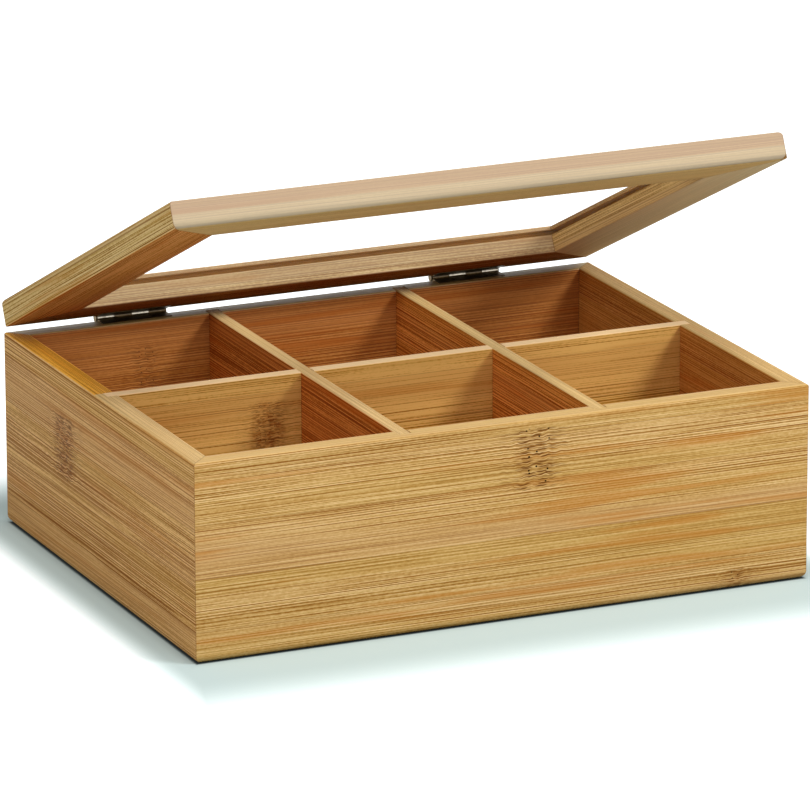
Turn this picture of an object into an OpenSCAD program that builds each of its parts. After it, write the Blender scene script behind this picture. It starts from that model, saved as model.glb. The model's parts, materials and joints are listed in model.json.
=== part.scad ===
// Tea box with six compartments and a hinged lid that has a clear window.
// Millimetres. +X runs along the front, +Y points to the hinge side, +Z up.
// The origin is the centre of the box's underside.

/* [Box] */
// Outside width, along the front
box_w = 280; // [220:1:360]
// Outside depth, front to back
box_d = 216; // [160:1:300]
// Height of the walls, without the lid
box_h = 86; // [60:1:120]
// Thickness of the four walls
wall_t = 9; // [8:0.5:12]
// Rounding of the walls' outer top edge
wall_top_r = 1; // [0.5:0.1:2.5]
// Rounding of the walls' outer bottom edge
wall_foot_r = 3.5; // [1:0.1:3.8]
// Easing of the walls' inner top edge
wall_inner_r = 0.8; // [0.3:0.1:1.5]

/* [Bottom] */
// Thickness of the bottom panel, which lies flush with the walls' underside
panel_t = 4; // [3:0.5:6]
// How far the panel reaches under the walls
panel_lap = 4; // [3:0.5:4]
// Gap between the panel's edge and the walls' rebate
panel_fit = 0.2; // [0.1:0.05:0.5]

/* [Dividers] */
// Thickness of the three dividers
divider_t = 6; // [4:0.5:8]
// Depth of the housings that hold the dividers' ends
housing_depth = 5; // [3:0.5:6]
// Gap on each side of a divider in its housing and in its half-lap slots
divider_fit = 0.1; // [0.05:0.05:0.3]
// Easing of the dividers' top edges
divider_r = 0.7; // [0.3:0.1:1.5]

/* [Lid] */
// How far the lid's ends stand in from the box's ends
lid_inset = 1; // [0:0.5:3]
// Width of the lid's four rails
rail_w = 27; // [20:1:40]
// Thickness of the lid's rails
rail_t = 12; // [10:0.5:18]
// Rounding of the lid's outer top edge
rail_top_r = 2.2; // [0.5:0.1:3]
// Easing of the lid's outer bottom edge at the sides and the back
rail_foot_r = 0.6; // [0.3:0.1:2]
// Rounding of the lid's bottom edge at the front, where fingers lift it
grip_r = 3; // [1:0.1:4]
// Easing of the rails' edges around the window
window_r = 0.8; // [0.3:0.1:1.5]
// Gap between the closed lid and the walls
lid_gap = 0.5; // [0.5:0.1:1.2]
// How far the lid stands open: 0 is closed
lid_open = 25; // [0:1:180]

/* [Window] */
// Thickness of the clear pane
pane_t = 2; // [1.5:0.5:3]
// How far the pane reaches into the rails' groove
pane_lap = 6; // [4:0.5:10]
// Depth of the pane's mid-plane below the lid's top
pane_depth = 2.9; // [2.9:0.1:6]
// Gap around the pane in its groove
pane_fit = 0.2; // [0.1:0.05:0.4]

/* [Hinges] */
// Length of each hinge
hinge_len = 32; // [28:1:50]
// Distance from the box's end to the middle of a hinge
hinge_inset = 60; // [45:1:80]
// Number of knuckles, shared in turn between the two leaves
knuckles = 4; // [2:2:6]
// Outer radius of the knuckles
barrel_r = 2.2; // [2:0.1:2.6]
// Radius of the hinge pin
pin_r = 1.05; // [0.8:0.05:1.2]
// Gap between the pin and its bore
pin_fit = 0.05; // [0.02:0.01:0.1]
// Radius of the pin's peened ends
pin_head_r = 1.6; // [1.4:0.1:1.9]
// Thickness of a peened end
pin_head_t = 0.5; // [0.3:0.1:0.8]
// Distance from the box's rear face to the pin's centre
axis_out = 3.5; // [3.2:0.1:5]
// Thickness of a leaf
leaf_t = 1; // [0.8:0.1:1.2]
// How far a leaf stands proud of the wood it is let into
leaf_proud = 0.2; // [0.1:0.05:0.22]
// How far a leaf reaches over the wood from the rear face
leaf_reach = 6; // [5:0.1:8]
// Gap around a leaf in its recess
leaf_fit = 0.15; // [0.1:0.05:0.3]
// Gap between neighbouring knuckles
knuckle_gap = 0.2; // [0.1:0.05:0.4]
// Gap where the edge of a rolled knuckle comes round to its leaf
roll_gap = 0.2; // [0.1:0.05:0.4]

/* [Screws] */
// Radius of a screw's countersunk head
screw_head_r = 1.7; // [1.4:0.1:2]
// Radius of a screw's shank
screw_r = 0.9; // [0.7:0.05:1.1]
// Length of a screw
screw_len = 8; // [5:0.5:9]
// Distance between a leaf's two screws
screw_pitch = 16; // [12:1:22]
// Gap around a screw in its hole
screw_fit = 0.05; // [0.02:0.01:0.1]

/* [Hidden] */
$fn = 48;
// Overrun of a cut past the face it opens
eps = 1;

// Space inside the walls
inner_w = box_w - 2 * wall_t;
inner_d = box_d - 2 * wall_t;
// Three equal columns, so the cross dividers stand this far from the middle
column_w = (inner_w - 2 * divider_t) / 3;
cross_x = (column_w + divider_t) / 2;
// The dividers stand on the panel and end flush with the walls
divider_h = box_h - panel_t;
slot_w = divider_t + 2 * divider_fit;
// Half of the divider's height, less half a fit, is cut out of each at a crossing
lap_h = (divider_h + divider_fit) / 2;

// Closed lid
lid_z = box_h + lid_gap;
lid_w = box_w - 2 * lid_inset;
window_w = lid_w - 2 * rail_w;
window_d = box_d - 2 * rail_w;

// Hinge axis, half way up the gap between lid and walls
axis_y = box_d / 2 + axis_out;
axis_z = box_h + lid_gap / 2;
hinge_x = box_w / 2 - hinge_inset;
// Distance from the axis plane to the face of a leaf that looks at it
leaf_z = lid_gap / 2 - leaf_proud;
recess_t = leaf_t - leaf_proud;
knuckle_len = hinge_len / knuckles;
// Radius that a leaf is cut back to beside the other leaf's knuckles
knuckle_clear_r = barrel_r + 0.3;

screw_y = -axis_out - leaf_reach / 2;
head_t = screw_head_r - screw_r;
// The head's top lies a little below the leaf's face
head_sink = 0.06;
point_t = 1.5 * screw_r;
point_r = screw_r / 6;
drive_len = 1.2 * screw_head_r;
drive_w = 0.45;
drive_t = 0.4;

bamboo = [0.78, 0.58, 0.33];
bamboo_inner = [0.66, 0.42, 0.20];
bronze = [0.20, 0.17, 0.15];

// ---- Profiles ---------------------------------------------------------------

// What a rounding of radius r takes off a square corner at the origin
module corner_off(r) {
    difference() {
        translate([-eps, -eps]) square(r + eps);
        translate([r, r]) circle(r);
    }
}

// Wall section: u runs inwards from the outer face, v runs up
module wall_section() {
    difference() {
        square([wall_t, box_h]);
        translate([wall_t - panel_lap, -eps]) square([panel_lap + eps, panel_t + eps]);
        corner_off(wall_foot_r);
        translate([0, box_h]) mirror([0, 1]) corner_off(wall_top_r);
        translate([wall_t, box_h]) rotate(180) corner_off(wall_inner_r);
    }
}

// Rail section, with the groove that holds the pane; foot_r rounds its outer bottom edge
module rail_section(foot_r) {
    groove_v = rail_t - pane_depth - pane_t / 2 - pane_fit;
    difference() {
        square([rail_w, rail_t]);
        translate([rail_w - pane_lap, groove_v]) square([pane_lap + eps, pane_t + 2 * pane_fit]);
        corner_off(foot_r);
        translate([0, rail_t]) mirror([0, 1]) corner_off(rail_top_r);
        translate([rail_w, rail_t]) rotate(180) corner_off(window_r);
        translate([rail_w, 0]) mirror([1, 0]) corner_off(window_r);
    }
}

// A section run along X with its outer face at y = -span / 2, mitred at both ends
module mitred(run, span, width, height) {
    intersection() {
        translate([-run / 2, -span / 2, 0]) rotate([90, 0, 90]) linear_extrude(run) children();
        linear_extrude(height) polygon([
            [-run / 2, -span / 2], [run / 2, -span / 2],
            [run / 2 - width, -span / 2 + width], [-run / 2 + width, -span / 2 + width]
        ]);
    }
}

module wall(run, span) {
    mitred(run, span, wall_t, box_h) wall_section();
}

module rail(run, span, foot_r = rail_foot_r) {
    mitred(run, span, rail_w, rail_t) rail_section(foot_r);
}

// Housing for a divider's end in a wall whose outer face is at y = -span / 2
module housing(x, span) {
    translate([x - slot_w / 2, -span / 2 + wall_t - housing_depth, -eps])
        cube([slot_w, housing_depth + eps, box_h + 2 * eps]);
}

// ---- Box --------------------------------------------------------------------

module cross_housings() {
    for (side = [-1, 1]) housing(side * cross_x, box_d);
}

module front_wall() {
    color(bamboo) difference() {
        wall(box_w, box_d);
        cross_housings();
    }
}

module back_wall() {
    color(bamboo) difference() {
        rotate(180) difference() {
            wall(box_w, box_d);
            cross_housings();
        }
        at_hinges() leaf_recess();
        at_hinges() screw_holes();
    }
}

module end_wall() {
    difference() {
        wall(box_d, box_w);
        housing(0, box_w);
    }
}

module left_wall() {
    color(bamboo) rotate(-90) end_wall();
}

module right_wall() {
    color(bamboo) rotate(90) end_wall();
}

module bottom_panel() {
    w = inner_w + 2 * (panel_lap - panel_fit);
    d = inner_d + 2 * (panel_lap - panel_fit);
    color(bamboo_inner) translate([-w / 2, -d / 2, 0]) cube([w, d, panel_t]);
}

// A divider along X, standing on the panel, with eased top edges
module divider(inner) {
    run = inner + 2 * (housing_depth - divider_fit);
    translate([-run / 2, -divider_t / 2, panel_t]) rotate([90, 0, 90]) linear_extrude(run)
        difference() {
            square([divider_t, divider_h]);
            translate([0, divider_h]) mirror([0, 1]) corner_off(divider_r);
            translate([divider_t, divider_h]) rotate(180) corner_off(divider_r);
        }
}

module lap_slot(x, z) {
    translate([x - slot_w / 2, -divider_t / 2 - eps, z]) cube([slot_w, divider_t + 2 * eps, lap_h + eps]);
}

module long_divider() {
    color(bamboo) difference() {
        divider(inner_w);
        for (side = [-1, 1]) lap_slot(side * cross_x, box_h - lap_h);
    }
}

module cross_divider() {
    rotate(90) difference() {
        divider(inner_d);
        lap_slot(0, panel_t - eps);
    }
}

module left_cross_divider() {
    color(bamboo) translate([-cross_x, 0, 0]) cross_divider();
}

module right_cross_divider() {
    color(bamboo) translate([cross_x, 0, 0]) cross_divider();
}

// ---- Lid --------------------------------------------------------------------

// Turns what is drawn for the closed lid to the angle it stands open at
module opened() {
    translate([0, axis_y, axis_z]) rotate([-lid_open, 0, 0]) translate([0, -axis_y, -axis_z]) children();
}

module lid_front_rail() {
    color(bamboo) opened() translate([0, 0, lid_z]) rail(lid_w, box_d, grip_r);
}

module lid_back_rail() {
    color(bamboo) opened() difference() {
        translate([0, 0, lid_z]) rotate(180) rail(lid_w, box_d);
        at_hinges() mirror([0, 0, 1]) leaf_recess();
        at_hinges() mirror([0, 0, 1]) screw_holes();
    }
}

module lid_left_rail() {
    color(bamboo) opened() translate([0, 0, lid_z]) rotate(-90) rail(box_d, lid_w);
}

module lid_right_rail() {
    color(bamboo) opened() translate([0, 0, lid_z]) rotate(90) rail(box_d, lid_w);
}

module window_pane() {
    w = window_w + 2 * (pane_lap - pane_fit);
    d = window_d + 2 * (pane_lap - pane_fit);
    color([0.85, 0.93, 0.95, 0.3]) opened()
        translate([-w / 2, -d / 2, lid_z + rail_t - pane_depth - pane_t / 2]) cube([w, d, pane_t]);
}

// ---- Hinges -----------------------------------------------------------------
// Drawn about the pin: x along it, y = -axis_out is the rear face, the box leaf below z = 0

module at_hinge(side) {
    translate([side * hinge_x, axis_y, axis_z]) children();
}

module at_hinges() {
    for (side = [-1, 1]) at_hinge(side) children();
}

module along_x(r, len, r2 = undef) {
    rotate([0, 90, 0]) cylinder(r1 = r, r2 = is_undef(r2) ? r : r2, h = len, center = true);
}

// Puts its child at every second knuckle, the first one or the second
module at_knuckles(first) {
    for (i = [first : 2 : knuckles - 1])
        translate([(i + 0.5) * knuckle_len - hinge_len / 2, 0, 0]) children();
}

// Leaf that holds the knuckles numbered first, first + 2 and so on
module leaf(first) {
    own_len = knuckle_len - knuckle_gap;
    difference() {
        union() {
            translate([-hinge_len / 2, -axis_out - leaf_reach, -leaf_z - leaf_t])
                cube([hinge_len, axis_out + leaf_reach - knuckle_clear_r, leaf_t]);
            at_knuckles(first) {
                along_x(barrel_r, own_len);
                translate([-own_len / 2, -knuckle_clear_r - eps, -leaf_z - leaf_t])
                    cube([own_len, knuckle_clear_r + eps, leaf_t]);
            }
        }
        along_x(pin_r + pin_fit, hinge_len + 2 * eps);
        translate([-hinge_len / 2 - eps, -barrel_r - eps, -leaf_z])
            cube([hinge_len + 2 * eps, barrel_r + eps, roll_gap]);
        at_knuckles(1 - first) along_x(knuckle_clear_r, knuckle_len + knuckle_gap);
        at_screws() countersink();
    }
}

module leaf_recess() {
    len = hinge_len + 2 * leaf_fit;
    translate([-len / 2, -axis_out - leaf_reach - leaf_fit, -leaf_z - leaf_t])
        cube([len, leaf_reach + leaf_fit + eps, leaf_t + leaf_z]);
}

module at_screws() {
    for (side = [-1, 1]) translate([side * screw_pitch / 2, screw_y, -leaf_z]) children();
}

module countersink() {
    translate([0, 0, -head_t - head_sink - screw_fit])
        cylinder(r1 = screw_r, r2 = screw_head_r + head_sink + screw_fit, h = head_t + head_sink + screw_fit);
    translate([0, 0, -leaf_t - eps]) cylinder(r = screw_r + screw_fit, h = leaf_t + 2 * eps);
}

module screw_holes() {
    at_screws() translate([0, 0, -screw_len - head_sink - screw_fit])
        cylinder(r = screw_r + screw_fit, h = screw_len);
}

// Countersunk wood screw with a cross recess, its head's face just below z = 0
module screw() {
    translate([0, 0, -head_sink]) difference() {
        rotate_extrude() polygon([
            [0, 0], [0, -screw_len], [point_r, -screw_len], [screw_r, point_t - screw_len],
            [screw_r, -head_t], [screw_head_r, 0]
        ]);
        translate([0, 0, -drive_t]) linear_extrude(drive_t + eps)
            for (turn = [0, 90]) rotate(turn) square([drive_len, drive_w], center = true);
    }
}

module pin() {
    color(bronze) {
        along_x(pin_r, hinge_len + 2 * pin_fit);
        for (side = [-1, 1]) translate([side * (hinge_len / 2 + pin_fit + pin_head_t / 2), 0, 0])
            along_x(pin_head_r, pin_head_t);
    }
}

module left_hinge_box_leaf() {
    color(bronze) at_hinge(-1) leaf(0);
}

module left_hinge_lid_leaf() {
    color(bronze) opened() at_hinge(-1) mirror([0, 0, 1]) leaf(1);
}

module left_hinge_pin() {
    at_hinge(-1) pin();
}

module right_hinge_box_leaf() {
    color(bronze) at_hinge(1) leaf(1);
}

module right_hinge_lid_leaf() {
    color(bronze) opened() at_hinge(1) mirror([0, 0, 1]) leaf(0);
}

module right_hinge_pin() {
    at_hinge(1) pin();
}

module box_hinge_screws() {
    color(bronze) at_hinges() at_screws() screw();
}

module lid_hinge_screws() {
    color(bronze) opened() at_hinges() mirror([0, 0, 1]) at_screws() screw();
}

// ---- Draw -------------------------------------------------------------------

front_wall();
back_wall();
left_wall();
right_wall();
bottom_panel();
long_divider();
left_cross_divider();
right_cross_divider();
lid_front_rail();
lid_back_rail();
lid_left_rail();
lid_right_rail();
window_pane();
left_hinge_box_leaf();
left_hinge_lid_leaf();
left_hinge_pin();
right_hinge_box_leaf();
right_hinge_lid_leaf();
right_hinge_pin();
box_hinge_screws();
lid_hinge_screws();
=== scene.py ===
import json
import math
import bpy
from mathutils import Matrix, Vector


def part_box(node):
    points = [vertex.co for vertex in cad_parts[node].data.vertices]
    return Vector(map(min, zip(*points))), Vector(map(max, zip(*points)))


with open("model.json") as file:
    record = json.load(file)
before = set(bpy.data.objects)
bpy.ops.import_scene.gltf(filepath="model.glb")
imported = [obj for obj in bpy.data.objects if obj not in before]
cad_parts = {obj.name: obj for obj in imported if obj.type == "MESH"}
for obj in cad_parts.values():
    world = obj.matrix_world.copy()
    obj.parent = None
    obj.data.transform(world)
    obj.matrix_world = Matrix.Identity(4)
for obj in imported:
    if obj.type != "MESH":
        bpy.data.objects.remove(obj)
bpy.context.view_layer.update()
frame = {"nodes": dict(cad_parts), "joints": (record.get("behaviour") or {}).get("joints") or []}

from types import SimpleNamespace

import bpy
import numpy as np
from mathutils import Matrix, Vector

# Tea box with six compartments and a hinged lid with a clear window.
# Metres; +X runs along the front, +Y points to the hinge side, +Z up.

MM = 0.001

# ---- Sizes that the finishes follow, from the frame ---------------------------

# The hinge axis, and how far the lid stands open at rest.
lid_joint = frame["joints"][0]
lid_pivot = Vector(lid_joint["pos_m"])
lid_open = -math.radians(lid_joint["range_deg"][0])

# Half the box's width and depth, and half the lid's width.
box_low, box_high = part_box("front_wall")
box_half_w = box_high.x
box_half_d = -box_low.y
lid_half_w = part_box("lid_front_rail")[1].x

# ---- Camera -------------------------------------------------------------------

FRAME_PX = 810
FOCAL_PX = 7009.8
SENSOR_MM = 36.0
CAMERA_PLACE = Vector((-1.16597, -2.63014, 0.91210))
CAMERA_AZIMUTH = math.radians(23.940)
CAMERA_DROP = math.radians(16.408)
CAMERA_ROLL = math.radians(-0.159)
FARTHEST_SEEN = 20.0


def make_camera():
    """A long lens that looks down on the box from the front left."""
    data = bpy.data.cameras.new("camera")
    data.sensor_width = SENSOR_MM
    data.lens = SENSOR_MM * FOCAL_PX / FRAME_PX
    data.clip_end = FARTHEST_SEEN
    camera = bpy.data.objects.new("camera", data)
    camera.location = CAMERA_PLACE
    heading = Matrix.Rotation(-CAMERA_AZIMUTH, 4, "Z")
    tilt = Matrix.Rotation(math.pi / 2 - CAMERA_DROP, 4, "X")
    roll = Matrix.Rotation(CAMERA_ROLL, 4, "Z")
    camera.rotation_euler = (heading @ tilt @ roll).to_euler()
    bpy.context.scene.collection.objects.link(camera)
    bpy.context.scene.camera = camera


# ---- Node helpers ---------------------------------------------------------------


def paint(red, green, blue):
    """An sRGB colour as the linear colour that a socket takes; one that multiplies may go past 255."""
    share = np.array([red, green, blue]) / 255
    linear = np.where(share <= 0.04045, share / 12.92, ((share + 0.055) / 1.055) ** 2.4)
    return (*linear.tolist(), 1.0)


PURE_WHITE = paint(255, 255, 255)


def feed(tree, socket, value):
    """Links a socket to a socket, or sets its own value."""
    if isinstance(value, bpy.types.NodeSocket):
        tree.links.new(value, socket)
    else:
        socket.default_value = value


def add(tree, kind, inputs=(), **settings):
    """Adds a shader node; inputs pairs socket names or numbers with values or sockets."""
    made = tree.nodes.new("ShaderNode" + kind)
    for name, value in settings.items():
        setattr(made, name, value)
    for key, value in dict(inputs).items():
        feed(tree, made.inputs[key], value)
    return made


def calc(tree, operation, *values):
    """One step of arithmetic on numbers."""
    return add(tree, "Math", enumerate(values), operation=operation).outputs[0]


def product(tree, first, *others):
    """All the values multiplied together."""
    for value in others:
        first = calc(tree, "MULTIPLY", first, value)
    return first


def vector_calc(tree, operation, *values):
    """One step of arithmetic on vectors, whose result is a vector."""
    return add(tree, "VectorMath", enumerate(values), operation=operation).outputs[0]


def vector_measure(tree, operation, *values):
    """One step of arithmetic on vectors, whose result is a number."""
    return add(tree, "VectorMath", enumerate(values), operation=operation).outputs["Value"]


def xyz(tree, vector):
    """The x, y and z of a vector."""
    return add(tree, "SeparateXYZ", {0: vector}).outputs


def fade(tree, value, start, end, low=0.0, high=1.0):
    """Goes smoothly from low to high while value goes from start to end."""
    made = add(tree, "MapRange", {"Value": value, "From Min": start, "From Max": end,
                                  "To Min": low, "To Max": high}, interpolation_type="SMOOTHSTEP")
    return made.outputs[0]


def noise(tree, vector, detail=2.0, roughness=0.5):
    """Cloudy noise round 0.5, whose clouds are about one unit of vector wide."""
    made = add(tree, "TexNoise", {"Vector": vector, "Scale": 1.0, "Detail": detail, "Roughness": roughness})
    return made.outputs[0]


def mix(tree, factor, first, second, mode="MIX"):
    """Mixes two colours."""
    made = add(tree, "Mix", {0: factor, 6: first, 7: second}, data_type="RGBA", blend_type=mode)
    return made.outputs[2]


def ramp(tree, value, stops):
    """Colour ramp; stops pairs positions with colours."""
    made = add(tree, "ValToRGB", {0: value})
    band = made.color_ramp
    while len(band.elements) < len(stops):
        band.elements.new(0.5)
    for element, (place, colour) in zip(band.elements, stops):
        element.position = place
        element.color = colour
    return made.outputs[0]


def new_group(name, inputs, outputs):
    """Starts a node group; inputs and outputs pair each socket's name with its kind."""
    tree = bpy.data.node_groups.new(name, "ShaderNodeTree")
    for side, sockets in (("INPUT", inputs), ("OUTPUT", outputs)):
        for label, kind in sockets.items():
            tree.interface.new_socket(label, in_out=side, socket_type="NodeSocket" + kind)
    return tree, tree.nodes.new("NodeGroupInput").outputs, tree.nodes.new("NodeGroupOutput").inputs


def use_group(tree, name, inputs):
    """Places a node group and returns its outputs."""
    made = tree.nodes.new("ShaderNodeGroup")
    made.node_tree = bpy.data.node_groups[name]
    for key, value in inputs.items():
        feed(tree, made.inputs[key], value)
    return made.outputs


def new_material(name):
    """An empty material with its tree, and the place on the object that its patterns follow."""
    material = bpy.data.materials.new(name)
    material.use_nodes = True
    tree = material.node_tree
    tree.nodes.clear()
    return material, tree, add(tree, "TexCoord").outputs["Object"]


def show(tree, surface, kind="Material"):
    """Makes surface what a material or the world shows."""
    output = tree.nodes.new("ShaderNodeOutput" + kind)
    tree.links.new(surface, output.inputs["Surface"])


def seen_directly(tree):
    """1 to the lens, in reflections and through the pane, and 0 where a surface is lit."""
    seen = add(tree, "LightPath").outputs
    lens = calc(tree, "MAXIMUM", seen["Is Camera Ray"], seen["Is Glossy Ray"])
    return calc(tree, "MAXIMUM", lens, seen["Is Transmission Ray"])


# ---- Bamboo ---------------------------------------------------------------------
# Board coordinates: x along the grain, y through the thickness, z across the strips.

# Fibres, from the palest to the darkest.
PALEST = paint(234, 198, 142)
PALE = paint(217, 179, 120)
STRAW = paint(205, 164, 102)
TAN = paint(191, 147, 83)
WARM = paint(174, 128, 66)
FIBRE = paint(157, 110, 48)
DARK_FIBRE = paint(138, 84, 32)
GRAIN = [(0.0, DARK_FIBRE), (0.13, FIBRE), (0.27, WARM), (0.43, TAN),
         (0.61, STRAW), (0.78, PALE), (1.0, PALEST)]

# What strips and streaks turn towards.
PINK = paint(200, 158, 108)
YELLOW = paint(198, 160, 84)
EMBER = paint(188, 122, 48)

# Joints and node marks; a paler colour for some faces, which on the lid rails' undersides is painted light;
# the painted sheen of the tops and the painted light on the long divider's top; painted light in the pane's
# groove; and the painted shade and orange reflection of the lid on a top edge, the last one, which
# multiplies.
GLUE = paint(112, 72, 36)
NODE = paint(116, 72, 32)
PIT = paint(40, 24, 12)
STAIN = paint(184, 134, 88)
PALER_FACE = paint(212, 197, 172)
TOP_SHEEN = paint(210, 180, 124)
LIT_TOP = paint(240, 206, 158)
GROOVE_LIGHT = paint(255, 205, 140)
LID_SHADE_ORANGE = paint(272, 238, 138)

# Patterns in the wood: repeats to the metre along the grain and across it, and a jump between strips.
WAVE = (7.0, 14.0, 31.0)
BROAD = (2.2, 45.0, 41.0)
BAND = (3.6, 360.0, 23.0)
FIBRES = (16.0, 1100.0, 67.0)
FLECKS = (600.0, 1500.0, 47.0)
STREAK = (8.0, 190.0, 29.0)
BUNCH = (3.0, 110.0, 73.0)

# Fine lines: how many to the metre, half a line's width, how often one comes and goes, and a jump.
DARK_LINES = (600.0, 0.3 * MM, 9.0, 91.0)
FINE_LINES = (1050.0, 0.24 * MM, 16.0, 13.0)
LIGHT_LINES = (750.0, 0.27 * MM, 9.0, 57.0)

# What sets strips, layers and the glue between them apart.
LAYER_JUMP = 7.0
STRIP_JUMP = 0.37
WAVE_HEIGHT = 1.2 * MM
GLUE_LINE = (0.25 * MM, 0.05 * MM)


def bamboo_group():
    """Strips glued side by side in layers, each with its own tone, long straight fibres and dark lines."""
    tree, given, result = new_group(
        "bamboo_strips",
        {"Vector": "Vector", "Seed": "Float", "Strip": "Float", "Layer": "Float", "Unevenness": "Float",
         "Lines": "Float", "Ink": "Float", "Streaks": "Float", "Paleness": "Float"},
        {"Color": "Color", "Roughness": "Float", "Height": "Float"})

    def cells(row, unevenness, **settings):
        """Cells of about one unit along row."""
        return add(tree, "TexVoronoi", {"W": row, "Scale": 1.0, "Randomness": unevenness},
                   voronoi_dimensions="1D", **settings).outputs

    # Each strip of each layer is a cell with its own random tone, lightness and hue.
    place = xyz(tree, given["Vector"])
    layer = calc(tree, "FLOOR", calc(tree, "DIVIDE", place[1], given["Layer"]))
    across = calc(tree, "DIVIDE", place[2], given["Strip"])
    across = calc(tree, "ADD", calc(tree, "MULTIPLY_ADD", layer, LAYER_JUMP, across), given["Seed"])
    own = cells(across, given["Unevenness"])["Color"]
    edge = cells(across, given["Unevenness"], feature="DISTANCE_TO_EDGE")["Distance"]
    edge = product(tree, edge, given["Strip"])
    tone, lightness, hue = add(tree, "SeparateColor", {0: own}).outputs

    def stretched(along, sideways, jump):
        """The place in the strip's own wood, in units of a fibre's length and width."""
        scale = vector_calc(tree, "MULTIPLY", given["Vector"], (along, sideways, sideways))
        return vector_calc(tree, "MULTIPLY_ADD", own, (jump, jump, jump), scale)

    # Lines run along the strip on the sum of depth and height, so that they show on all four long faces.
    wave = calc(tree, "SUBTRACT", noise(tree, stretched(*WAVE), 1.0), 0.5)
    sheet = calc(tree, "MULTIPLY_ADD", wave, WAVE_HEIGHT, calc(tree, "ADD", place[1], place[2]))
    sheet = calc(tree, "MULTIPLY_ADD", tone, STRIP_JUMP, sheet)

    def lines(count, half_width, along, jump):
        """Fine straight lines of one width, count of them to the metre, each coming and going."""
        row = calc(tree, "MULTIPLY_ADD", sheet, count, jump)
        gap = cells(row, 1.0, feature="DISTANCE_TO_EDGE")["Distance"]
        line = fade(tree, gap, half_width * count, half_width * count * 0.35)
        come_and_go = noise(tree, stretched(along, count, jump), 1.0)
        return product(tree, line, fade(tree, come_and_go, 0.34, 0.6, 0.1, 1.0))

    broad = noise(tree, stretched(*BROAD), 2.0)
    band = noise(tree, stretched(*BAND), 1.0)
    fibres = noise(tree, stretched(*FIBRES), 2.0, 0.6)
    flecks = noise(tree, stretched(*FLECKS), 1.0)
    streak = noise(tree, stretched(*STREAK), 2.0)
    bunch = fade(tree, noise(tree, stretched(*BUNCH), 1.0), 0.36, 0.62, 0.25, 1.0)
    dark = product(tree, lines(*DARK_LINES), bunch)
    fine = lines(*FINE_LINES)
    light = lines(*LIGHT_LINES)

    # How light each fibre is: noises and lines, weighted, with the strip's tone and the board's paleness.
    grain = calc(tree, "MULTIPLY_ADD", band, 0.3, product(tree, broad, 0.3))
    grain = calc(tree, "ADD", grain, calc(tree, "MULTIPLY_ADD", fibres, 1.3, product(tree, flecks, 0.8)))
    grain = calc(tree, "SUBTRACT", grain, 1.15)
    grain = product(tree, calc(tree, "MULTIPLY_ADD", light, 0.5, grain), given["Lines"])
    ink = calc(tree, "MULTIPLY_ADD", dark, 0.9, product(tree, fine, 0.6))
    grain = calc(tree, "SUBTRACT", grain, product(tree, ink, given["Ink"]))
    grain = calc(tree, "MULTIPLY_ADD", grain, 0.8, calc(tree, "MULTIPLY_ADD", tone, 0.1, 0.385))
    colour = ramp(tree, calc(tree, "ADD", grain, given["Paleness"]), GRAIN)

    # Pinker and yellower strips, orange streaks, a small difference in lightness, and glue between strips.
    hue = calc(tree, "MULTIPLY_ADD", broad, 1.6, calc(tree, "MULTIPLY_ADD", hue, 0.5, -0.55))
    colour = mix(tree, fade(tree, hue, 0.45, 0.8, 0.0, 0.5), colour, PINK)
    colour = mix(tree, fade(tree, hue, 0.5, 0.2, 0.0, 0.32), colour, YELLOW)
    colour = mix(tree, product(tree, fade(tree, streak, 0.55, 0.72), given["Streaks"]), colour, EMBER)
    gain = calc(tree, "MULTIPLY_ADD", lightness, 0.08, 0.96)
    grey = add(tree, "CombineXYZ", {0: gain, 1: gain, 2: gain}).outputs[0]
    colour = mix(tree, 1.0, colour, grey, "MULTIPLY")
    glue = fade(tree, edge, *GLUE_LINE)
    colour = mix(tree, product(tree, glue, 0.3), colour, GLUE)
    feed(tree, result["Color"], colour)

    # Lines and glue lie a little lower and rougher than the fibres.
    line = calc(tree, "MAXIMUM", dark, fine)
    rough = calc(tree, "MULTIPLY_ADD", fibres, 0.14, 0.27)
    feed(tree, result["Roughness"], calc(tree, "MULTIPLY_ADD", line, 0.15, rough))
    height = calc(tree, "SUBTRACT", product(tree, fibres, 0.35), product(tree, line, 0.7))
    feed(tree, result["Height"], calc(tree, "SUBTRACT", height, glue))


# Spots of a node mark: cell length, cell width, half length, half width, and the share of cells with one.
DASHES = (6.5 * MM, 1.6 * MM, 3.4 * MM, 0.36 * MM, 0.88)
FAINT_DASHES = (9.0 * MM, 1.9 * MM, 4.6 * MM, 0.32 * MM, 0.85)
PITS = (4.6 * MM, 2.6 * MM, 0.55 * MM, 0.45 * MM, 0.45)

# Repeats to the metre along the mark, across it, and from mark to mark.
SWIRL = (230.0, 160.0, 90.0)
STAIN_CLOUD = (260.0, 320.0, 90.0)
STAIN_SPECKLE = (620.0, 1250.0, 90.0)
SWIRL_HEIGHT = 1.8 * MM


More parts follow.
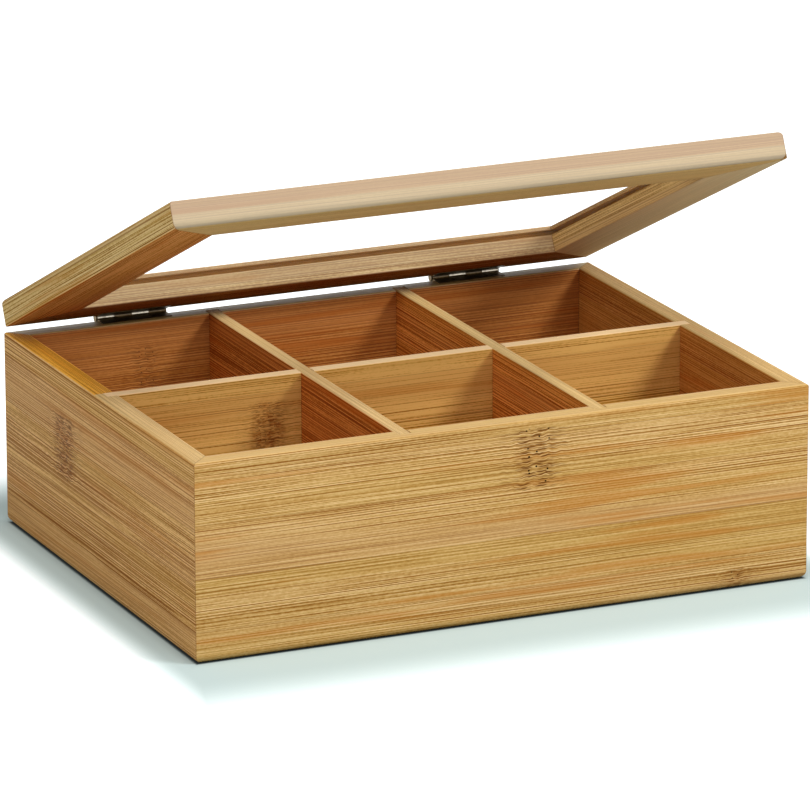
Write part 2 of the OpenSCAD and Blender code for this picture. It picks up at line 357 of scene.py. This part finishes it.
def node_mark_group():
    """Where the culm had a node: thin wavy dark dashes, a few black pits and a browner stain."""
    tree, given, result = new_group(
        "node_mark",
        {"Vector": "Vector", "Along": "Float", "Across": "Float", "Half Width": "Float",
         "Half Length": "Float", "Fineness": "Float", "Strength": "Float"},
        {"Mask": "Float", "Pits": "Float", "Stain": "Float", "Bend": "Float"})
    place = xyz(tree, given["Vector"])
    along = calc(tree, "SUBTRACT", place[0], given["Along"])
    across = calc(tree, "SUBTRACT", calc(tree, "ADD", place[1], place[2]), given["Across"])
    side = calc(tree, "DIVIDE", calc(tree, "ABSOLUTE", across), given["Half Width"])
    reach = calc(tree, "DIVIDE", calc(tree, "ABSOLUTE", along), given["Half Length"])
    edge = product(tree, fade(tree, side, 1.0, 0.86), given["Strength"])

    def within(end, start):
        """Full up to start half lengths from the middle of the mark, and gone at end."""
        return product(tree, fade(tree, reach, end, start), edge)

    flat = add(tree, "CombineXYZ", {0: along, 1: across, 2: given["Along"]}).outputs[0]
    swirl = noise(tree, vector_calc(tree, "MULTIPLY", flat, SWIRL), 1.0)
    swirl = product(tree, calc(tree, "SUBTRACT", swirl, 0.5), SWIRL_HEIGHT)
    wavy = calc(tree, "ADD", across, swirl)

    def scattered(length, width, half_length, half_width, chance):
        """Flat spots, one in each cell of length by width, on the share of cells that chance gives."""
        cell = add(tree, "CombineXYZ", {0: calc(tree, "DIVIDE", along, length),
                                        1: calc(tree, "DIVIDE", wavy, width)}).outputs[0]
        cell = add(tree, "VectorMath", {0: cell, "Scale": given["Fineness"]}, operation="SCALE").outputs[0]
        spot = add(tree, "TexVoronoi", {"Vector": cell, "Scale": 1.0, "Randomness": 0.85},
                   voronoi_dimensions="2D").outputs
        away = vector_calc(tree, "SUBTRACT", cell, spot["Position"])
        away = vector_calc(tree, "MULTIPLY", away, (length / half_length, width / half_width, 0.0))
        far = vector_measure(tree, "LENGTH", away)
        luck = add(tree, "SeparateColor", {0: spot["Color"]}).outputs[0]
        return product(tree, fade(tree, far, 1.0, 0.55), fade(tree, luck, chance + 0.04, chance))

    dashes = product(tree, scattered(*DASHES), within(1.3, 0.6))
    faint = product(tree, scattered(*FAINT_DASHES), within(2.6, 0.9))
    feed(tree, result["Mask"], calc(tree, "MAXIMUM", dashes, product(tree, faint, 0.55)))
    feed(tree, result["Pits"], product(tree, scattered(*PITS), within(0.85, 0.6)))
    cloud = noise(tree, vector_calc(tree, "MULTIPLY", flat, STAIN_CLOUD), 2.0)
    speckle = noise(tree, vector_calc(tree, "MULTIPLY", flat, STAIN_SPECKLE), 1.0)
    round_edge = calc(tree, "ADD", product(tree, reach, reach), product(tree, side, side))
    stain = product(tree, fade(tree, round_edge, 1.6, 0.1), fade(tree, cloud, 0.2, 0.7),
                    fade(tree, speckle, 0.36, 0.6, 0.35, 1.0), given["Strength"])
    feed(tree, result["Stain"], stain)
    feed(tree, result["Bend"], product(tree, swirl, within(2.6, 0.4)))


SEAM_REACH = 0.4 * MM


def seam_group():
    """A fine dark line where two mitred ends meet, for any frame whose corners lie on |x| - |y| = Offset."""
    tree, given, result = new_group("mitre_seam", {"Vector": "Vector", "Offset": "Float"}, {"Mask": "Float"})
    place = xyz(tree, given["Vector"])
    gap = calc(tree, "SUBTRACT", calc(tree, "ABSOLUTE", place[0]), calc(tree, "ABSOLUTE", place[1]))
    gap = calc(tree, "ABSOLUTE", calc(tree, "SUBTRACT", gap, given["Offset"]))
    feed(tree, result["Mask"], fade(tree, gap, SEAM_REACH, 0.0))


# ---- Boards ---------------------------------------------------------------------

ALONG_X = Matrix.Identity(3)
ALONG_Y = Matrix.Rotation(-math.pi / 2, 3, "Z")
LYING = Matrix.Rotation(-math.pi / 2, 3, "X")
CLOSE_LID = Matrix.Rotation(lid_open, 3, "X")


def board_range(node, turn, on_lid):
    """The lowest and highest corners of a board in its own coordinates, with the lid shut."""
    points = np.array([vertex.co for vertex in frame["nodes"][node].data.vertices])
    if on_lid:
        points = (points - lid_pivot) @ np.array(CLOSE_LID).T + np.array(lid_pivot)
    points = points @ np.array(turn).T
    return points.min(axis=0), points.max(axis=0)


pane_mid = sum(end[2] for end in board_range("window_pane", ALONG_X, True)) / 2

# How far inside the top or the bottom face its own colour starts, and where it is full.
SKIN_START = 0.5 * MM
SKIN_FULL = 0.2 * MM

# The same for the two broad sides, as shares of the thickness from the outer side.
OUTER_SKIN = (0.08, 0.04)
INNER_SKIN = (0.88, 0.97)
INNER_HALF = (0.5, 0.6)

# Half the width of the line where the outer side's upper half, or the painted shade and reflection of the
# lid on a top edge, begins.
UPPER_BLEND = 0.15 * MM
LID_SHADE_BLEND = 0.2 * MM

# How far from the middle of the pane the painted light in its groove starts to show, and is full.
PANE_GROOVE = (1.3 * MM, 1.1 * MM)

GRAIN_DEPTH = 0.06 * MM
LACQUER_TINT = (1.0, 1.0, 0.84, 1.0)
WHITE = (255, 255, 255)
SATIN = 0.015

# What a board has where nothing else is said. Tints are sRGB and multiply the wood's colour; on some faces
# they are painted light and shade. A bleach is the share of a paler colour on one of the board's faces, and
# the top's painted light is the share of a paler colour on its top face, a painted sheen. Each name begins
# with its face.
PLAIN_BOARD = {
    "outer": -1,            # its outer side is the low (-1) or the high (1) one through it
    "on_lid": False,
    "seam": None,           # where its mitres lie, as |x| - |y|
    "strip": 20 * MM,       # a strip's width
    "layer": 4.6 * MM,      # a layer's thickness
    "unevenness": 0.5,      # how much the strips' widths differ
    "lines": 0.9,           # contrast of the grain
    "ink": 1.0,             # darkness of the fine lines
    "streaks": 0.6,         # strength of the orange streaks
    "paleness": 0.0,
    "outer_tint": WHITE,
    "upper_tint": None,     # that of the outer side's upper half, where it differs
    "inner_tint": WHITE,
    "top_tint": WHITE,
    "under_tint": WHITE,
    "outer_bleach": 0.0,
    "inner_bleach": 0.0,
    # On the lid rails, the paler undersides are painted light.
    "under_bleach": 0.0,
    # The paler top is a painted sheen.
    "top_bleach": 0.0,
    "top_colour": TOP_SHEEN,
    "ember_from": None,     # where along the board the painted shade and orange reflection of the lid on the top edge starts
    "gloss": SATIN,
    "marks": (),            # its node marks
}


def node_mark(along, height, half_width, half_length, fineness=1.0, strength=0.9, stain=0.3):
    """A node mark with its middle at along and height on a board's outer side; lengths in mm."""
    return SimpleNamespace(along=along * MM, height=height * MM, half_width=half_width * MM,
                           half_length=half_length * MM, fineness=fineness, strength=strength, stain=stain)


def shut_place(tree, here):
    """The place that a point of the lid has when the lid is shut."""
    move = lid_pivot - CLOSE_LID @ lid_pivot
    shut = add(tree, "Mapping", {"Vector": here, "Location": move, "Rotation": CLOSE_LID.to_euler()})
    return shut.outputs[0]


def board_faces(tree, place, low, high, outer):
    """Masks of a board's four long faces, of its upper half and of the inner half of its thickness."""
    outside, inside = (low[1], high[1]) if outer < 0 else (high[1], low[1])
    middle = (low[2] + high[2]) / 2
    depth = add(tree, "MapRange", {0: place[1], 1: outside, 2: inside}).outputs[0]
    return SimpleNamespace(
        outer=fade(tree, depth, *OUTER_SKIN),
        inner=fade(tree, depth, *INNER_SKIN),
        inner_half=fade(tree, depth, *INNER_HALF),
        upper=fade(tree, place[2], middle - UPPER_BLEND, middle + UPPER_BLEND),
        top=fade(tree, place[2], high[2] - SKIN_START, high[2] - SKIN_FULL),
        under=fade(tree, place[2], low[2] + SKIN_START, low[2] + SKIN_FULL))


def board_tint(tree, board, face):
    """The colour that multiplies the wood, face by face; on several boards these tints are painted light and
    shade.
    """
    tint = paint(*board.outer_tint)
    if board.upper_tint:
        tint = mix(tree, face.upper, tint, paint(*board.upper_tint))
    tint = mix(tree, face.inner, tint, paint(*board.inner_tint))
    tint = mix(tree, face.top, tint, paint(*board.top_tint))
    return mix(tree, face.under, tint, paint(*board.under_tint))


def board_colour(tree, board, face, place, wood):
    """The wood's colour with the painted sheen on its top, paler faces, painted light in the pane's groove
    and the painted shade and reflection of the lid on a top edge.
    """
    # Painted sheen: the top face turns towards a paler colour.
    colour = mix(tree, product(tree, face.top, board.top_bleach), wood, board.top_colour)
    # Paler faces; on the lid rails' undersides they are painted light.
    paler_faces = calc(tree, "MAXIMUM", product(tree, face.outer, board.outer_bleach),
                 product(tree, face.inner, board.inner_bleach))
    paler_faces = calc(tree, "MAXIMUM", paler_faces, product(tree, face.under, board.under_bleach))
    colour = mix(tree, paler_faces, colour, PALER_FACE)
    # On the lid rails, painted light where the pane's groove lies in shade.
    if board.on_lid:
        from_pane = calc(tree, "ABSOLUTE", calc(tree, "SUBTRACT", place[2], pane_mid))
        groove_light = product(tree, fade(tree, from_pane, *PANE_GROOVE), face.inner_half)
        colour = mix(tree, groove_light, colour, GROOVE_LIGHT)
    # Painted shade and orange reflection of the lid on the back part of a top edge.
    if board.ember_from is not None:
        beyond = fade(tree, place[0], board.ember_from - LID_SHADE_BLEND, board.ember_from + LID_SHADE_BLEND)
        lid_shade = mix(tree, 1.0, mix(tree, 0.5, wood, colour), LID_SHADE_ORANGE, "MULTIPLY")
        colour = mix(tree, product(tree, face.top, beyond), colour, lid_shade)
    return mix(tree, 1.0, colour, board_tint(tree, board, face), "MULTIPLY")


def bamboo(node, turn, seed, **choices):
    """Lacquered bamboo for one board; choices are what differs from a plain board."""
    board = SimpleNamespace(**{**PLAIN_BOARD, **choices})
    low, high = board_range(node, turn, board.on_lid)
    outside = low[1] if board.outer < 0 else high[1]
    material, tree, here = new_material(node + "_bamboo")
    if board.on_lid:
        here = shut_place(tree, here)
    vector = add(tree, "Mapping", {"Vector": here, "Rotation": turn.to_euler()}).outputs[0]
    place = xyz(tree, vector)

    # The grain starts at the board's lower edge, or at a rail's middle, and bends where it runs past a node.
    strips_from = (low[2] + high[2]) / 2 if board.on_lid else low[2]
    grain = vector_calc(tree, "SUBTRACT", vector, (0.0, 0.0, strips_from))
    painted = []
    for mark in board.marks:
        painted.append(use_group(tree, "node_mark", {
            "Vector": vector, "Along": mark.along, "Across": mark.height + outside,
            "Half Width": mark.half_width, "Half Length": mark.half_length,
            "Fineness": mark.fineness, "Strength": mark.strength}))
        bend = add(tree, "CombineXYZ", {2: painted[-1]["Bend"]}).outputs[0]
        grain = vector_calc(tree, "ADD", grain, bend)
    wood = use_group(tree, "bamboo_strips", {
        "Vector": grain, "Seed": seed, "Strip": board.strip, "Layer": board.layer,
        "Unevenness": board.unevenness, "Lines": board.lines, "Ink": board.ink,
        "Streaks": board.streaks, "Paleness": board.paleness})

    face = board_faces(tree, place, low, high, board.outer)
    colour = board_colour(tree, board, face, place, wood["Color"])
    height = wood["Height"]
    for mark, mask in zip(board.marks, painted):
        colour = mix(tree, product(tree, mask["Stain"], mark.stain), colour, STAIN, "MULTIPLY")
        colour = mix(tree, product(tree, mask["Mask"], 0.85), colour, NODE)
        colour = mix(tree, mask["Pits"], colour, PIT)
        height = calc(tree, "SUBTRACT", height, calc(tree, "ADD", mask["Mask"], mask["Pits"]))
    if board.seam is not None:
        line = use_group(tree, "mitre_seam", {"Vector": here, "Offset": board.seam})["Mask"]
        colour = mix(tree, product(tree, line, 0.6), colour, GLUE)

    bump = add(tree, "Bump", {"Strength": 0.35, "Distance": GRAIN_DEPTH, "Height": height}).outputs[0]
    show(tree, add(tree, "BsdfPrincipled", {
        "Base Color": colour, "Roughness": wood["Roughness"], "Normal": bump, "IOR": 1.5,
        "Specular IOR Level": board.gloss, "Specular Tint": LACQUER_TINT}).outputs[0])
    return material


# Eased edges: how much comes off, how near points are joined first, and what turn counts as an edge.
ARRIS = 0.25 * MM
WELD = 0.002 * MM
SHARP = math.radians(40)


def dress(node, material, arris=0.0):
    """Gives a CAD node its material and, on the boards, eases its sharp edges by arris."""
    piece = frame["nodes"][node]
    piece.data.materials.clear()
    piece.data.materials.append(material)
    if arris:
        weld = piece.modifiers.new("weld", "WELD")
        weld.merge_threshold = WELD
        ease = piece.modifiers.new("ease", "BEVEL")
        ease.width = arris
        ease.segments = 2
        ease.limit_method = "ANGLE"
        ease.angle_limit = SHARP
        ease.use_clamp_overlap = True
        even = piece.modifiers.new("even", "WEIGHTED_NORMAL")
        even.keep_sharp = False


bamboo_group()
node_mark_group()
seam_group()

# Where the mitres lie, as |x| - |y|.
wall_seam = box_half_w - box_half_d
lid_seam = lid_half_w - box_half_d

# Tints of the walls' insides, of the panel and dividers, and of the lid rails' inner sides and undersides,
# all painted light and shade: the walls' insides are redder with painted shade, the panel and the long
# divider are lighter with painted light, the cross dividers are russet with painted shade, and each lid
# rail's inner side and underside is lighter or darker, with the light that falls on it painted in.
INNER_SHADE = (244, 203, 164)
GOLDEN_LIGHT = (260, 245, 196)
RUSSET_SHADE = (238, 176, 122)
LIGHTER_RUSSET_SHADE = (255, 200, 144)
CREAM = (250, 240, 214)
UNDERSIDE_SHADE = (236, 194, 158)
DARKER_UNDERSIDE_SHADE = (205, 185, 178)

# Boards of one layer: the layer is thicker than the board.
DIVIDER_LAYER = 20 * MM
RAIL_LAYER = 40 * MM
RAIL_STRIP = 6 * MM
RAIL_INK = 1.4


def wall(turn, seed, **choices):
    """A box wall, mitred at both ends, whose inside is painted redder as shade."""
    return {"turn": turn, "seed": seed, "seam": wall_seam, "inner_tint": INNER_SHADE, **choices}


def divider(turn, seed, tint, **choices):
    """A divider of one layer, with the same tint on both sides."""
    return {"turn": turn, "seed": seed, "layer": DIVIDER_LAYER,
            "outer_tint": tint, "inner_tint": tint, **choices}


def rail(turn, seed, lines, **choices):
    """A lid rail: one layer of narrow even strips with a matt finish, a paler inner side and a painted sheen
    on its top.
    """
    return {"turn": turn, "seed": seed, "lines": lines, "ink": RAIL_INK * lines, "on_lid": True,
            "seam": lid_seam, "strip": RAIL_STRIP, "layer": RAIL_LAYER, "unevenness": 0.0, "gloss": 0.0,
            "outer_tint": (250, 255, 252), "inner_bleach": 0.2, "top_bleach": 0.4, **choices}


# The cross dividers' paler tops are a painted sheen.
CROSS_WOOD = {"top_bleach": 0.6, "lines": 1.5, "ink": 2.6, "paleness": 0.12}

# Painted light on the boards: the paler tops are a painted sheen, and the back wall's top is also tinted
# pale greenish grey as a painted reflection beside its real gloss.
BOARDS = {
    "front_wall": wall(ALONG_X, 3, top_bleach=0.5,
                       marks=[node_mark(13, 69, 14, 9, strength=1.25),
                              node_mark(107, 4, 5, 7, fineness=1.4, strength=0.8, stain=0.6)]),
    "back_wall": wall(ALONG_X, 11, outer=1, ink=1.6, top_bleach=0.6, top_tint=(240, 246, 230), gloss=0.5,
                      marks=[node_mark(-78, 53, 14, 6, fineness=1.5, strength=0.8),
                             node_mark(64, 30, 11, 8)]),
    # The left wall's top has a painted sheen, and behind the middle the painted shade and orange reflection
    # of the lid.
    "left_wall": wall(ALONG_Y, 23, outer=1, outer_tint=(255, 242, 222), top_bleach=0.6, ember_from=2 * MM,
                      lines=1.2, ink=2.6, streaks=0.3, paleness=0.13,
                      marks=[node_mark(38, 53, 15, 11, fineness=1.2, strength=1.2, stain=0.6)]),
    "right_wall": wall(ALONG_Y, 31, top_bleach=0.4, marks=[node_mark(-52, 26, 10, 8)]),
    "bottom_panel": {"turn": LYING, "seed": 47, "outer_tint": GOLDEN_LIGHT, "inner_tint": GOLDEN_LIGHT},
    # The long divider is painted lighter as light, through its tint and paleness, and its top is paler
    # still.
    "long_divider": divider(ALONG_X, 52, GOLDEN_LIGHT, top_bleach=0.85, top_colour=LIT_TOP,
                            lines=1.4, ink=1.8, streaks=0.35, paleness=0.46,
                            marks=[node_mark(-63, 60, 16, 8, fineness=2.2, stain=1.0)]),
    "left_cross_divider": divider(ALONG_Y, 63, RUSSET_SHADE, **CROSS_WOOD),
    "right_cross_divider": divider(ALONG_Y, 74, LIGHTER_RUSSET_SHADE, **CROSS_WOOD),
    # The lid rails' tints of their inner sides and undersides, and their paler undersides, are painted light
    # and shade.
    "lid_front_rail": rail(ALONG_X, 85, 0.9, paleness=0.02, outer_tint=(236, 234, 230),
                           upper_tint=(226, 214, 210), outer_bleach=0.75, inner_tint=CREAM,
                           under_tint=(255, 244, 208), under_bleach=0.4),
    "lid_back_rail": rail(ALONG_X, 96, 1.6, outer=1, paleness=-0.05, inner_tint=(234, 240, 246),
                          under_tint=DARKER_UNDERSIDE_SHADE),
    "lid_left_rail": rail(ALONG_Y, 107, 1.2, outer=1, paleness=0.2, inner_tint=CREAM,
                          under_tint=UNDERSIDE_SHADE),
    "lid_right_rail": rail(ALONG_Y, 118, 1.5, paleness=0.08, inner_tint=(255, 250, 224),
                           under_tint=(250, 244, 226), under_bleach=0.65),
}
for node, choices in BOARDS.items():
    dress(node, bamboo(node, **choices), ARRIS)

# ---- Metal and pane ---------------------------------------------------------------

PLATING = paint(86, 68, 42)
WORN_PLATING = paint(122, 100, 64)
GLINT_STEEL = paint(245, 238, 218)

# The painted glint, a thin bright line along the knuckles: how far above level it faces, how wide it is, and
# the barrel's reach.
GLINT_ANGLE = math.radians(20)
GLINT_SIDE = (0.0, -math.cos(GLINT_ANGLE), math.sin(GLINT_ANGLE))
GLINT_SPREAD = math.radians(13)
BARREL_REACH = 2.7 * MM

# Patterns on metal and pane: repeats to the metre along x, y and z.
TARNISH = (400.0, 400.0, 400.0)
SCRATCHES = (300.0, 4000.0, 4000.0)
SCRATCH_DEPTH = 0.02 * MM
WIPE_MARKS = (14.0, 40.0, 40.0)


def hinge_metal(name, glint):
    """Dark plated steel; glint is the strength of a painted highlight, a thin bright line along the front of
    the knuckles.
    """
    material, tree, here = new_material(name)
    cloud = noise(tree, vector_calc(tree, "MULTIPLY", here, TARNISH), 3.0, 0.6)
    scratch = noise(tree, vector_calc(tree, "MULTIPLY", here, SCRATCHES), 2.0, 0.6)
    colour = mix(tree, fade(tree, cloud, 0.4, 0.7), PLATING, WORN_PLATING)
    from_pin = vector_calc(tree, "SUBTRACT", here, lid_pivot)
    from_pin = vector_calc(tree, "MULTIPLY", from_pin, (0.0, 1.0, 1.0))
    far = vector_measure(tree, "LENGTH", from_pin)
    # The painted highlight: a thin line on the barrel's front turns to bright steel and smoother.
    facing = vector_measure(tree, "DOT_PRODUCT", vector_calc(tree, "NORMALIZE", from_pin), GLINT_SIDE)
    line = product(tree, fade(tree, facing, math.cos(GLINT_SPREAD), math.cos(GLINT_SPREAD / 2)),
                   fade(tree, far, BARREL_REACH, 0.9 * BARREL_REACH),
                   fade(tree, cloud, 0.3, 0.5, 0.5, 1.0), glint)
    colour = mix(tree, line, colour, GLINT_STEEL)
    rough = calc(tree, "MULTIPLY_ADD", line, -0.15, calc(tree, "MULTIPLY_ADD", cloud, 0.3, 0.3))
    bump = add(tree, "Bump", {"Strength": 0.2, "Distance": SCRATCH_DEPTH, "Height": scratch}).outputs[0]
    show(tree, add(tree, "BsdfPrincipled", {
        "Base Color": colour, "Roughness": rough, "Metallic": 1.0, "Normal": bump}).outputs[0])
    return material


def clear_pane():
    """Clear acrylic with faint wipe marks."""
    material, tree, here = new_material("clear_acrylic")
    smear = noise(tree, vector_calc(tree, "MULTIPLY", here, WIPE_MARKS), 3.0, 0.6)
    show(tree, add(tree, "BsdfPrincipled", {
        "Base Color": PURE_WHITE, "Roughness": fade(tree, smear, 0.4, 0.8, 0.02, 0.06), "IOR": 1.49,
        "Specular IOR Level": 0.2, "Transmission Weight": 1.0, "Alpha": 0.02}).outputs[0])
    return material


# The box leaves carry a full painted highlight on their knuckles, the lid leaves a faint one.
dark_bronze = hinge_metal("dark_bronze", 0.1)
glinting_bronze = hinge_metal("glinting_bronze", 1.0)
for node in frame["nodes"]:
    if "hinge" in node:
        dress(node, glinting_bronze if "box_leaf" in node else dark_bronze)
dress("window_pane", clear_pane())

# ---- Stage ------------------------------------------------------------------------

FLOOR_REACH = 6.0
# Painted shadow: the floor's darker teal colour near the box, and black where the box touches it.
SHADED_FLOOR = (0.45, 0.54, 0.53, 1.0)
OPEN_FLOOR = (0.62, 0.68, 0.68, 1.0)
CONTACT_SHADOW = (0.01, 0.01, 0.01, 1.0)
NEAR_GLOW = paint(215, 236, 236)

# Distances from the box's outline at which the floor's colours and glow start and are full. Nearer than
# these, the floor is painted darker and tealer as a soft shadow, and black where the box touches it as a
# contact shadow.
SHADED = (20 * MM, 85 * MM)
TOUCHING = (-1.2 * MM, 0.6 * MM)
GLOWING = (-4 * MM, 6 * MM)
SIDE_SHARPNESS = 3.2


def make_floor():
    """A plain pale floor that keeps the shadow, with a painted soft shadow and a painted black contact line
    round the box; the lens sees it white where nothing shades it.
    """
    reach = FLOOR_REACH
    corners = [(-reach, -reach, 0), (reach, -reach, 0), (reach, reach, 0), (-reach, reach, 0)]
    mesh = bpy.data.meshes.new("floor")
    mesh.from_pydata(corners, [], [(0, 1, 2, 3)])
    floor = bpy.data.objects.new("floor", mesh)
    bpy.context.scene.collection.objects.link(floor)
    material, tree, here = new_material("pale_floor")
    place = xyz(tree, here)
    beside = calc(tree, "SUBTRACT", calc(tree, "ABSOLUTE", place[0]), box_half_w)
    before = calc(tree, "SUBTRACT", calc(tree, "ABSOLUTE", place[1]), box_half_d)
    clear = calc(tree, "MAXIMUM", beside, before)
    spread = calc(tree, "MAXIMUM", product(tree, beside, SIDE_SHARPNESS), before)
    far = fade(tree, spread, *SHADED)
    # Painted soft shadow near the box, and a painted black contact line where it touches.
    pale = mix(tree, far, SHADED_FLOOR, OPEN_FLOOR)
    pale = mix(tree, fade(tree, clear, *TOUCHING), CONTACT_SHADOW, pale)
    diffuse = add(tree, "BsdfDiffuse", {"Color": pale}).outputs[0]
    # Near the box the glow is weaker and tealer, part of the painted shadow.
    lens = product(tree, seen_directly(tree), fade(tree, clear, *GLOWING))
    strength = product(tree, lens, calc(tree, "MULTIPLY_ADD", far, 0.75, 0.15))
    white = mix(tree, far, NEAR_GLOW, PURE_WHITE)
    glow = add(tree, "Emission", {"Color": white, "Strength": strength}).outputs[0]
    show(tree, add(tree, "AddShader", {0: diffuse, 1: glow}).outputs[0])
    mesh.materials.append(material)


def area_light(name, place, target, diameter, power):
    """A round lamp at place that points at target."""
    data = bpy.data.lights.new(name, "AREA")
    data.shape = "DISK"
    data.size = diameter
    data.energy = power
    lamp = bpy.data.objects.new(name, data)
    lamp.location = place
    lamp.rotation_euler = (Vector(target) - Vector(place)).to_track_quat("-Z", "Y").to_euler()
    bpy.context.scene.collection.objects.link(lamp)


AMBIENT = 0.28

# Name, place, target, diameter and power of each lamp, in metres and watts.
LAMPS = [("key", (1.1, -1.15, 1.35), (0, 0, 0.05), 0.6, 22),
         ("top", (-0.1, -0.7, 1.6), (0, 0, 0), 1.1, 14),
         ("fill", (-1.6, -0.6, 0.9), (0, 0, 0.05), 1.2, 8)]


def make_world():
    """White to the lens and in reflections, a soft even fill for everything else."""
    world = bpy.data.worlds.new("studio")
    world.use_nodes = True
    bpy.context.scene.world = world
    tree = world.node_tree
    tree.nodes.clear()
    strength = calc(tree, "MULTIPLY_ADD", seen_directly(tree), 1.0 - AMBIENT, AMBIENT)
    show(tree, add(tree, "Background", {"Color": PURE_WHITE, "Strength": strength}).outputs[0], "World")


make_camera()
make_floor()
make_world()
for lamp in LAMPS:
    area_light(*lamp)

bpy.context.scene.view_settings.view_transform = "Standard"
